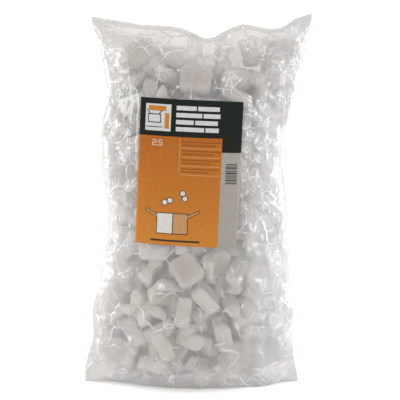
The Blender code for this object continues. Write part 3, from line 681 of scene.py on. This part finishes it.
def away_from_welds(along, above_foot, below_top):
    """0 at both welds, rising to 1 over a stretch above the foot weld and one below the top weld."""
    return smooth_step(along, *above_foot) * smooth_step(FLAT_LENGTH - along, *below_top)


def under_label(side, x, z, margin, soft):
    """1 under the label and its margin, falling to 0 over a soft edge; 0 on the back."""
    return 1.0 - smooth_step(past_label(x, z), margin, margin + soft) if side < 0 else np.zeros_like(x)


def membrane(side, share, along, x, z, depth):
    """Lift of the film over the pillow shape, relaxed as a membrane that rests on the chips.

    Each point takes the mean of its four neighbours, with a small pull back towards the sunken film,
    and then at least the reach of the chips behind it. Behind the label the film is not lifted.
    """
    free = away_from_welds(along, FREE_ABOVE_FOOT, FREE_BELOW_TOP)
    free = free * smooth_step(1.0 - np.abs(share), *FREE_FROM_SIDES)
    need = np.minimum(reach_of_chips(side)[table_cell(x, z)] + FILM_CLEAR - depth, MOST_LIFT)
    need = np.where(free > LEAST_FREE, need, -1.0)
    sunk = -FILM_SUCK * free
    lift = sunk.copy()
    for _ in range(MEMBRANE_STEPS):
        mean = lift.copy()
        mean[1:-1, 1:-1] = (lift[:-2, 1:-1] + lift[2:, 1:-1] + lift[1:-1, :-2] + lift[1:-1, 2:]) / 4
        lift = np.maximum(mean * (1.0 - MEMBRANE_PULL) + sunk * MEMBRANE_PULL, need)
    return lift * (1.0 - under_label(side, x, z, *LABEL_FLAT))


def slack_zones(share, along, x, z):
    """1 where the film is slack and 0 where it is tight, with ragged edges from a noise.

    It is slack down its right side, less down its left side and under the top weld, and over the foot,
    there most at the corners.
    """
    ragged = RAGGED_REACH * (noise(x / RAGGED_SIZE[0], z / RAGGED_SIZE[1], RAGGED_SEED) - 0.5)
    right = smooth_step(share + ragged, *RIGHT_SLACK)
    left = smooth_step(ragged - share, *LEFT_SLACK) * LEFT_SLACKNESS
    top = smooth_step(along, FLAT_LENGTH - TOP_SLACK[0], FLAT_LENGTH - TOP_SLACK[1]) * TOP_SLACKNESS
    corners = FOOT_MIDDLE + (1.0 - FOOT_MIDDLE) * smooth_step(np.abs(share), *FOOT_CORNERS)
    foot = smooth_step(-along, -FOOT_SLACK[0], -FOOT_SLACK[1]) * corners * FOOT_SLACKNESS
    return np.maximum(np.maximum(right, left), np.maximum(top, foot))


def crumple(side, share, along, x, z, slack):
    """Height of the folds, summed over their sizes: faint where the film is tight, strong where slack."""
    shift = 0.0 if side < 0 else BACK_SHIFT
    seed = CREASE_SEED + (0 if side < 0 else BACK_SEEDS)
    folds = np.zeros_like(x)
    for size, (height, width, length, lean) in enumerate(CREASES):
        folds = folds + height * (creases(x + shift, z, width, length, lean, seed + size) - 0.5)
    loose = slack * away_from_welds(along, CREASES_ABOVE_FOOT, CREASES_BELOW_TOP)
    tight = FRONT_CREASING if side < 0 else BACK_CREASING
    edge = smooth_step(1.0 - np.abs(share), *CREASES_FROM_SIDES)
    return folds * (tight + SLACK_CREASING * loose) * edge * (1.0 - under_label(side, x, z, *LABEL_SMOOTH))


def side_sway(share, along, z):
    """How far the film stands out at its sides: a noise along the side folds, and a flare over the foot.

    The noise takes its seed from the whole grid, which is the same on both sides, so the sides meet.
    """
    fold = smooth_step(np.abs(share), *SWAY_SHARE) * away_from_welds(along, SWAY_ENDS, SWAY_ENDS)
    seeds = SWAY_SEED + 2 * (share > 0)
    sway = (noise(z / SWAY_PITCH, np.full_like(z, 3.5), seeds) - 0.5) * SWAY_REACH * fold
    flare = FLARE_REACH * np.abs(share) ** 3 * smooth_step(z, *FLARE_RISE)
    flare = flare * (1.0 - smooth_step(z, *FLARE_FALL))
    return np.where(share > 0, 1.0, -1.0) * (sway + flare)


def drape(side):
    """One side of the film: x, y, z and slack on a grid of evenly spaced columns and rows.

    The depth is the pillow's, with its bulges, the lift over the chips and the folds. It is 0 at the
    side folds and at both welds.
    """
    arc = np.linspace(0.0, math.pi, ARC_SAMPLES)
    steps = np.hypot(np.diff(FLAT_WIDTH / 2 * np.cos(arc)), np.diff(BODY_HALF_DEPTH * np.sin(arc)))
    run = np.concatenate([[0.0], np.cumsum(steps)])
    share = np.cos(np.interp(np.linspace(0.0, run[-1], FILM_COLUMNS + 1), run, arc))
    share, along = np.meshgrid(share, np.linspace(0.0, FLAT_LENGTH, FILM_ROWS + 1))
    x, depth, z = film_point(share, along)
    depth = depth + bulge(side, x, z) * np.sqrt(np.maximum(1.0 - share**2, 0.0))
    slack = slack_zones(share, along, x, z)
    depth = depth + membrane(side, share, along, x, z, depth) + crumple(side, share, along, x, z, slack)
    depth = np.where(np.abs(share) > 0.99999, 0.0, np.maximum(depth, LEAST_DEPTH))
    depth[[0, -1]] = 0.0
    return x + side_sway(share, along, z), side * depth, z, slack


def build_film(finish):
    """Join the two draped sides along the side folds and at the two welds into one closed skin."""
    columns, rows = 2 * FILM_COLUMNS, FILM_ROWS + 1
    x, y, z, slack = [np.concatenate([f, b[:, -2:0:-1]], axis=1) for f, b in zip(drape(-1), drape(1))]
    index = np.arange(rows * columns).reshape(rows, columns)
    opposite = (columns - np.arange(columns)) % columns
    for row in (0, rows - 1):
        index[row] = np.minimum(index[row], index[row, opposite])
    after = np.roll(index, -1, axis=1)
    faces = np.stack([index[:-1], index[1:], after[1:], after[:-1]], -1).reshape(-1, 4)
    used, faces = np.unique(faces, return_inverse=True)
    points = np.stack([x, y, z], -1).reshape(-1, 3)[used]
    skin = show("film_skin", points, [faces.reshape(-1, 4)], finish)
    give(skin, "slack", slack.ravel()[used])
    return skin


def cell_borders(tree, place, scale, width, level):
    """Thin lines along the borders of random cells: a level on a border, and 0 from a width away."""
    cells = add(tree, "ShaderNodeTexVoronoi", {"Vector": place, "Scale": scale}, feature="DISTANCE_TO_EDGE")
    return ramp(tree, cells.outputs["Distance"], 0.0, width, level, 0.0)


def patches(tree, place, scale, detail, start, end):
    """Patches where a noise is high: 0 below start and 1 above end."""
    cloud = add(tree, "ShaderNodeTexNoise", {"Vector": place, "Scale": scale, "Detail": detail})
    return ramp(tree, cloud.outputs["Fac"], start, end)


def make_film():
    """Clear film: tinted see-through, hazy where it is slack, white along its creases as stress whitening
    and painted highlight, with gloss.

    The gloss is Fresnel's share times a gain, up to a limit, so that the sides stay see-through.
    """
    finish, tree = new_finish("clear_film_crinkled")
    place = add(tree, "ShaderNodeTexCoord").outputs["Object"]
    slack = add(tree, "ShaderNodeAttribute", attribute_name="slack").outputs["Fac"]
    drift = add(tree, "ShaderNodeTexNoise", {"Vector": place, "Scale": 32.0, "Detail": 2.0})
    drift = shaded(tree, drift.outputs["Color"], 0.020)
    bent = add(tree, "ShaderNodeVectorMath", {0: place, 1: drift}, operation="ADD").outputs["Vector"]
    lines = cell_borders(tree, bent, 62.0, 0.055, 1.0)
    lines = calc(tree, "MULTIPLY", lines, patches(tree, place, 60.0, 1.0, 0.47, 0.62))
    small = cell_borders(tree, bent, 170.0, 0.11, 0.62)
    small = calc(tree, "MULTIPLY", small, patches(tree, place, 48.0, 2.0, 0.50, 0.64))
    lines = calc(tree, "MAXIMUM", lines, calc(tree, "MULTIPLY", small, slack))
    fine = add(tree, "ShaderNodeTexNoise", {
        "Vector": place, "Scale": 78.0, "Detail": 2.0, "Distortion": 0.8,
    })
    facets = add(tree, "ShaderNodeTexVoronoi", {"Vector": place, "Scale": 72.0}, feature="F1")
    crinkle = ramp(tree, slack, 0.0, 1.0, TIGHT_CRINKLE, SLACK_CRINKLE)
    normal = dented(tree, fine.outputs["Fac"], crinkle, 0.0010)
    normal = dented(tree, facets.outputs["Distance"], crinkle, 0.0008, normal)
    normal = dented(tree, lines, 0.7, 0.0007, normal)
    clear = add(tree, "ShaderNodeBsdfTransparent", {"Color": (*FILM_TINT, 1.0)})
    haze = add(tree, "ShaderNodeBsdfDiffuse", {"Color": (*HAZE_COLOUR, 1.0), "Normal": normal})
    cloud = ramp(tree, slack, 0.0, 1.0, TIGHT_HAZE, SLACK_HAZE)
    # The white along the crease lines is partly stress whitening of the film and partly a painted highlight
    # that shows at any angle.
    white = calc(tree, "MULTIPLY_ADD", lines, CREASE_WHITENING_AND_PAINTED_HIGHLIGHT, cloud)
    body = add(tree, "ShaderNodeMixShader", {"Fac": white, 1: clear.outputs[0], 2: haze.outputs[0]})
    gloss = add(tree, "ShaderNodeBsdfGlossy", {"Roughness": 0.11, "Normal": normal})
    mirror = add(tree, "ShaderNodeFresnel", {"IOR": 1.62, "Normal": normal}).outputs[0]
    mirror = calc(tree, "MINIMUM", calc(tree, "MULTIPLY", mirror, MIRROR_GAIN), MOST_MIRROR)
    film = add(tree, "ShaderNodeMixShader", {"Fac": mirror, 1: body.outputs[0], 2: gloss.outputs[0]})
    tree.links.new(film.outputs[0], tree.nodes["Material Output"].inputs["Surface"])
    return finish


film = build_film(make_film())
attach(film, "root")
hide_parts("film_bag")


# Printed label.
# A self-adhesive paper label on the front of the film: a dark heading that hooks down its right edge,
# an orange field and a light grey strip, printed with plain bars, lines and two plain cartons.
LABEL_THICKNESS = 0.0003
LABEL_GAP = 0.0004
LABEL_COLUMNS = 58
LABEL_ROWS = 84
LABEL_HEADER = 0.0315
LABEL_STRIP = 0.0165
LABEL_HOOK = 0.0120
CORNER_LIFT = 0.0009
CORNER_POWER = 6
WAVE_HEIGHT = 0.0003
WAVE_RUN = (95.0, 38.0)
RIPPLE_RUN = (60, 45)
RIPPLE_SEED = 61
HEADER_INK = (0.011, 0.016, 0.012)
ORANGE_INK = (0.57, 0.168, 0.026)
LIGHT_ORANGE_INK = (0.72, 0.272, 0.045)
STRIP_INK = (0.47, 0.437, 0.395)
PALE_INK = (0.80, 0.80, 0.785)
TAN_INK = (0.66, 0.36, 0.16)
NUMBER_INK = (0.86, 0.70, 0.53)
LINE_INK = (0.32, 0.105, 0.028)
RULE_INK = (0.78, 0.43, 0.20)
CODE_INK = (0.05, 0.05, 0.05)
OUTLINE_INK = (0.03, 0.028, 0.022)
CARD_INK = (0.85, 0.82, 0.76)
BAR_INK = (0.05, 0.04, 0.03)


def build_label(finish):
    """Sheet over the film at its leaning place, lifted at its corners, in a soft wave and in ripples."""
    across = np.linspace(-0.5, 0.5, LABEL_COLUMNS + 1) * LABEL_WIDTH
    up = np.linspace(-0.5, 0.5, LABEL_ROWS + 1) * LABEL_HEIGHT
    across, up = np.meshgrid(across, up)
    x = LABEL_X + across * math.cos(LABEL_TURN) + up * math.sin(LABEL_TURN)
    z = LABEL_Z + up * math.cos(LABEL_TURN) - across * math.sin(LABEL_TURN)
    corner = np.abs(across / LABEL_WIDTH * 2) ** CORNER_POWER * np.abs(up / LABEL_HEIGHT * 2) ** CORNER_POWER
    wave = WAVE_HEIGHT * (1.0 + np.sin(across * WAVE_RUN[0] + up * WAVE_RUN[1]))
    wave = wave + WAVE_HEIGHT * noise(across * RIPPLE_RUN[0] + 9, up * RIPPLE_RUN[1] + 9, RIPPLE_SEED)
    lift = LABEL_GAP + CORNER_LIFT * corner + wave
    y = -film_front(x, z) - lift
    columns = LABEL_COLUMNS + 1
    first = (np.arange(LABEL_ROWS)[:, None] * columns + np.arange(LABEL_COLUMNS)).ravel()
    faces = np.stack([first, first + 1, first + columns + 1, first + columns], -1)
    sheet = show("label_sheet", np.stack([x, y, z], -1).reshape(-1, 3), [faces], finish)
    print_map = sheet.data.uv_layers.new(name="print")
    corners = np.stack([across, up], -1).reshape(-1, 2)[faces.ravel()] * 1000.0
    print_map.data.foreach_set("uv", corners.ravel())
    skin = sheet.modifiers.new("paper", "SOLIDIFY")
    skin.thickness = LABEL_THICKNESS
    skin.offset = -1.0
    return sheet


def make_print():
    """Label print, laid down ink by ink on millimetres across and up from the label's middle."""
    finish, tree = new_finish("printed_label_paper")
    place = add(tree, "ShaderNodeUVMap", uv_map="print").outputs["UV"]

    def from_middle(across, up, width, height, turn):
        """Place from the middle of a form, turned with it, as shares of its half sizes."""
        near = add(tree, "ShaderNodeVectorMath", {0: place, 1: (across, up, 0.0)}, operation="SUBTRACT")
        if turn:
            angle = math.radians(-turn)
            near = add(tree, "ShaderNodeVectorRotate", {"Vector": near.outputs[0], "Angle": angle},
                       rotation_type="Z_AXIS")
        half = (width / 2, height / 2, 1.0)
        share = add(tree, "ShaderNodeVectorMath", {0: near.outputs[0], 1: half}, operation="DIVIDE")
        return share.outputs[0]

    def inked(across, up, width, height, turn=0.0):
        """1 inside a box, where the larger of the two shares is under 1."""
        share = from_middle(across, up, width, height, turn)
        share = add(tree, "ShaderNodeVectorMath", {0: share}, operation="ABSOLUTE")
        share = add(tree, "ShaderNodeSeparateXYZ", {0: share.outputs[0]})
        return calc(tree, "LESS_THAN", calc(tree, "MAXIMUM", share.outputs[0], share.outputs[1]), 1.0)

    def round_ink(across, up, size):
        """1 inside a disc, where the distance is under half its size."""
        share = from_middle(across, up, size, size, 0.0)
        far = add(tree, "ShaderNodeVectorMath", {0: share}, operation="LENGTH")
        return calc(tree, "LESS_THAN", far.outputs["Value"], 1.0)

    def lay(under, masks, ink):
        """Lay an ink over what is printed so far, wherever one of the masks is 1."""
        mask = masks[0]
        for other in masks[1:]:
            mask = calc(tree, "MAXIMUM", mask, other)
        return mixed(tree, mask, under, (*ink, 1.0))

    left, right = -LABEL_WIDTH * 500, LABEL_WIDTH * 500
    low, high = -LABEL_HEIGHT * 500, LABEL_HEIGHT * 500
    strip = LABEL_STRIP * 1000
    header = LABEL_HEADER * 1000
    hook = LABEL_HOOK * 1000

    # The field, the strip down its right edge, and the heading with its hook.
    height = add(tree, "ShaderNodeSeparateXYZ", {0: place}).outputs[1]
    fade = ramp(tree, height, low, high - header, 1.0, 0.0)
    field = mixed(tree, fade, (*ORANGE_INK, 1.0), (*LIGHT_ORANGE_INK, 1.0))
    paint = lay(field, [inked(right - strip / 2, 0.0, strip, 2 * high)], STRIP_INK)
    paint = lay(paint, [
        inked(0.0, high - header / 2, 2 * right, header),
        inked(right - strip / 2, high - (header + hook) / 2, strip, header + hook),
    ], HEADER_INK)

    # A plain carton in a pale square.
    x, y = left + 15.5, high - 16.0
    paint = lay(paint, [inked(x, y, 21.5, 22.5)], PALE_INK)
    paint = lay(paint, [
        inked(x - 1.0, y + 7.6, 15.0, 4.2), inked(x + 7.4, y - 2.6, 3.8, 13.0),
    ], LIGHT_ORANGE_INK)
    paint = lay(paint, [
        inked(x - 3.2, y - 4.2, 10.6, 0.8), inked(x - 3.2, y + 2.6, 10.6, 0.8),
        inked(x - 8.4, y - 0.8, 0.8, 7.5), inked(x + 2.0, y - 0.8, 0.8, 7.5),
        inked(x - 8.0, y + 4.2, 0.8, 5.0, 38), inked(x + 1.6, y + 4.2, 0.8, 5.0, -38),
        inked(x - 3.2, y - 8.0, 14.0, 0.7),
    ], HEADER_INK)

    # Four rows of two plain bars each.
    bars = []
    for row, (length, first) in enumerate([(36.6, 17), (37.4, 22), (35.4, 15), (36.4, 24)]):
        level = high - 7.2 - row * 5.9
        start = left + 30.6
        bars.append(inked(start + first / 2, level, first, 3.7))
        second = length - first - 1.2
        bars.append(inked(start + first + 1.2 + second / 2, level, second, 3.7))
    paint = lay(paint, bars, PALE_INK)

    # The content in litres, from seven-stroke digits.
    x, y = left + 13.0, high - header - 5.6
    strokes = []
    for start, upper in ((0.0, 1.45), (5.2, -1.45)):
        for level in (-2.1, 0.0, 2.1):
            strokes.append(inked(x + start, y + level, 3.2, 0.7))
        strokes.append(inked(x + start + upper, y + 1.05, 0.7, 2.3))
        strokes.append(inked(x + start - upper, y - 1.05, 0.7, 2.3))
    strokes.append(inked(x + 2.6, y - 2.2, 0.7, 1.1))
    paint = lay(paint, strokes, NUMBER_INK)

    # Four blocks of two plain lines each, with a pale rule under each and one down their left.
    x = left + 53.0
    dark, pale = [], []
    for block in range(4):
        level = high - header - 4.0 - block * 7.6
        dark.append(inked(x, level, 33.0, 0.9))
        dark.append(inked(x - 2.0 - block, level - 2.6, 29.0 - 2 * block, 0.9))
        pale.append(inked(x, level - 5.2, 33.0, 0.45))
    paint = lay(paint, dark, LINE_INK)
    pale.append(inked(x - 18.2, high - header - 16.5, 0.45, 30.0))
    paint = lay(paint, pale, RULE_INK)

    # A plain pattern of stripes on the strip.
    x, level = right - strip / 2 + 0.5, high - 53.0
    stripes = []
    for width in (0.9, 0.5, 1.3, 0.5, 0.8, 1.4, 0.5, 0.9, 0.5, 1.2, 0.6, 0.9):
        stripes.append(inked(x, level - width / 2, 9.6, width))
        level -= width + 0.65
    paint = lay(paint, stripes, CODE_INK)

    # An open carton with two flaps and four chips above it: outlines first, then what they hold.
    x, y = left + 31.0, low + 19.0
    chips = [(x - 7.0, y + 18.0), (x - 2.6, y + 20.0), (x + 8.0, y + 26.5), (x + 10.0, y + 22.0)]
    outlines = [inked(x, y, 27.0, 18.5)]
    outlines += [inked(x + side * 17.5, y + 8.5, 12.5, 2.6, side * 28) for side in (-1, 1)]
    outlines += [round_ink(across, up, 5.4) for across, up in chips]
    paint = lay(paint, outlines, OUTLINE_INK)
    flaps = [inked(x + side * 17.5, y + 8.5, 11.3, 1.5, side * 28) for side in (-1, 1)]
    paint = lay(paint, flaps + [inked(x + 6.8, y, 12.0, 17.1)], TAN_INK)
    paper_white = [inked(x - 6.4, y, 12.9, 17.1)] + [round_ink(across, up, 4.1) for across, up in chips]
    paint = lay(paint, paper_white, CARD_INK)
    paint = lay(paint, [inked(left + 34.0, low + 4.0, 42.0, 1.7)], BAR_INK)

    # The paper under it: a little uneven in tone, finely grained and matt.
    worn = add(tree, "ShaderNodeTexNoise", {"Vector": place, "Scale": 0.35, "Detail": 4.0})
    paint = shaded(tree, paint, ramp(tree, worn.outputs["Fac"], 0.3, 0.7, 0.92, 1.06))
    grain = add(tree, "ShaderNodeTexNoise", {"Vector": place, "Scale": 3.0, "Detail": 3.0})
    paper = add(tree, "ShaderNodeBsdfPrincipled", {
        "Base Color": paint, "Roughness": 0.6, "Specular IOR Level": 0.12,
        "Normal": dented(tree, grain.outputs["Fac"], 0.15, 0.0002),
    })
    tree.links.new(paper.outputs[0], tree.nodes["Material Output"].inputs["Surface"])
    return finish


label = build_label(make_print())
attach(label, "root")
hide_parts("label")


# Studio.
# A white floor that runs back out of sight, a white surround for the camera, two soft boxes beside and
# a little behind the bag that light its film edges, one above, and two narrow ones at its front sides.
CAMERA_LIFT = math.radians(10.0)
CAMERA_DISTANCE = 1.6
CAMERA_LENS = 165.5
CAMERA_AIM = (0.00235, 0.0, 0.163)
LIGHT_AIM = (0.0, 0.0, 0.16)
SURROUND = 0.26
WHITE = (1.0, 1.0, 1.0, 1.0)
FLOOR_REACH = 9.0
FLOOR_DROP = 0.0004
# Distance from the bag and glow of the floor there, near and far.
FLOOR_NEAR = (0.15, 0.30)
FLOOR_FAR = (1.6, 0.80)
SOFT_BOXES = [
    ("left_box", (-0.95, 0.25, 0.40), 0.5, 0.9, 6.8),
    ("right_box", (0.95, 0.25, 0.40), 0.5, 0.9, 7.8),
    ("top_box", (0.0, 0.0, 1.3), 0.9, 0.9, 4.0),
    ("left_strip", (-1.10, -0.90, 0.55), 0.35, 1.0, 4.5),
    ("right_strip", (1.10, -0.90, 0.55), 0.35, 1.0, 4.5),
]


def rays_that_see(tree):
    """1 for the camera's rays and for those of gloss and clear pieces, and 0 for the rays of light."""
    path = add(tree, "ShaderNodeLightPath")
    seen = calc(tree, "MAXIMUM", path.outputs["Is Camera Ray"], path.outputs["Is Glossy Ray"])
    return calc(tree, "MAXIMUM", seen, path.outputs["Is Transmission Ray"])


def white_surround():
    """World that is white to the camera, to gloss and through glass, and a plain grey light otherwise."""
    world = bpy.data.worlds.new("studio_surround")
    bpy.context.scene.world = world
    world.use_nodes = True
    tree = world.node_tree
    tree.nodes.clear()
    light = add(tree, "ShaderNodeBackground", {"Color": WHITE, "Strength": SURROUND})
    seen = add(tree, "ShaderNodeBackground", {"Color": WHITE, "Strength": 1.0})
    choose = add(tree, "ShaderNodeMixShader", {
        "Fac": rays_that_see(tree), 1: light.outputs[0], 2: seen.outputs[0],
    })
    output = add(tree, "ShaderNodeOutputWorld")
    tree.links.new(choose.outputs[0], output.inputs["Surface"])


def make_floor():
    """White floor that takes the bag's shadow and grows paler away from it, into the surround."""
    finish, tree = new_finish("floor_white")
    paint = add(tree, "ShaderNodeBsdfDiffuse", {"Color": (0.90, 0.90, 0.90, 1.0)})
    place = add(tree, "ShaderNodeTexCoord").outputs["Object"]
    far = add(tree, "ShaderNodeVectorMath", {0: place}, operation="LENGTH").outputs["Value"]
    lift = ramp(tree, far, FLOOR_NEAR[0], FLOOR_FAR[0], FLOOR_NEAR[1], FLOOR_FAR[1])
    lift = calc(tree, "MULTIPLY", rays_that_see(tree), lift)
    glow = add(tree, "ShaderNodeEmission", {"Color": WHITE, "Strength": lift})
    both = add(tree, "ShaderNodeAddShader", {0: paint.outputs[0], 1: glow.outputs[0]})
    tree.links.new(both.outputs[0], tree.nodes["Material Output"].inputs["Surface"])
    corners = [(-1.0, -1.0), (1.0, -1.0), (1.0, 1.0), (-1.0, 1.0)]
    points = np.array([(x * FLOOR_REACH, y * FLOOR_REACH, -FLOOR_DROP) for x, y in corners])
    return show("studio_floor", points, [np.array([[0, 1, 2, 3]])], finish)


def turn_to(thing, place, aim):
    """Set a lamp or camera at a place, looking at a point, with its top up."""
    look = Vector(aim) - Vector(place)
    thing.location = place
    thing.rotation_euler = look.to_track_quat("-Z", "Y").to_euler()


def soft_box(name, place, width, height, power):
    """Area light that faces the bag."""
    lamp = bpy.data.lights.new(name, "AREA")
    lamp.shape = "RECTANGLE"
    lamp.size = width
    lamp.size_y = height
    lamp.energy = power
    box = bpy.data.objects.new(name, lamp)
    bpy.context.scene.collection.objects.link(box)
    turn_to(box, place, LIGHT_AIM)


white_surround()
floor = make_floor()
for soft_box_values in SOFT_BOXES:
    soft_box(*soft_box_values)

camera_data = bpy.data.cameras.new("camera")
camera_data.lens = CAMERA_LENS
camera = bpy.data.objects.new("camera", camera_data)
bpy.context.scene.collection.objects.link(camera)
back_off = CAMERA_DISTANCE * math.cos(CAMERA_LIFT)
rise = CAMERA_DISTANCE * math.sin(CAMERA_LIFT)
turn_to(camera, (CAMERA_AIM[0], -back_off, CAMERA_AIM[2] + rise), CAMERA_AIM)
bpy.context.scene.camera = camera
bpy.context.scene.view_settings.view_transform = "Standard"
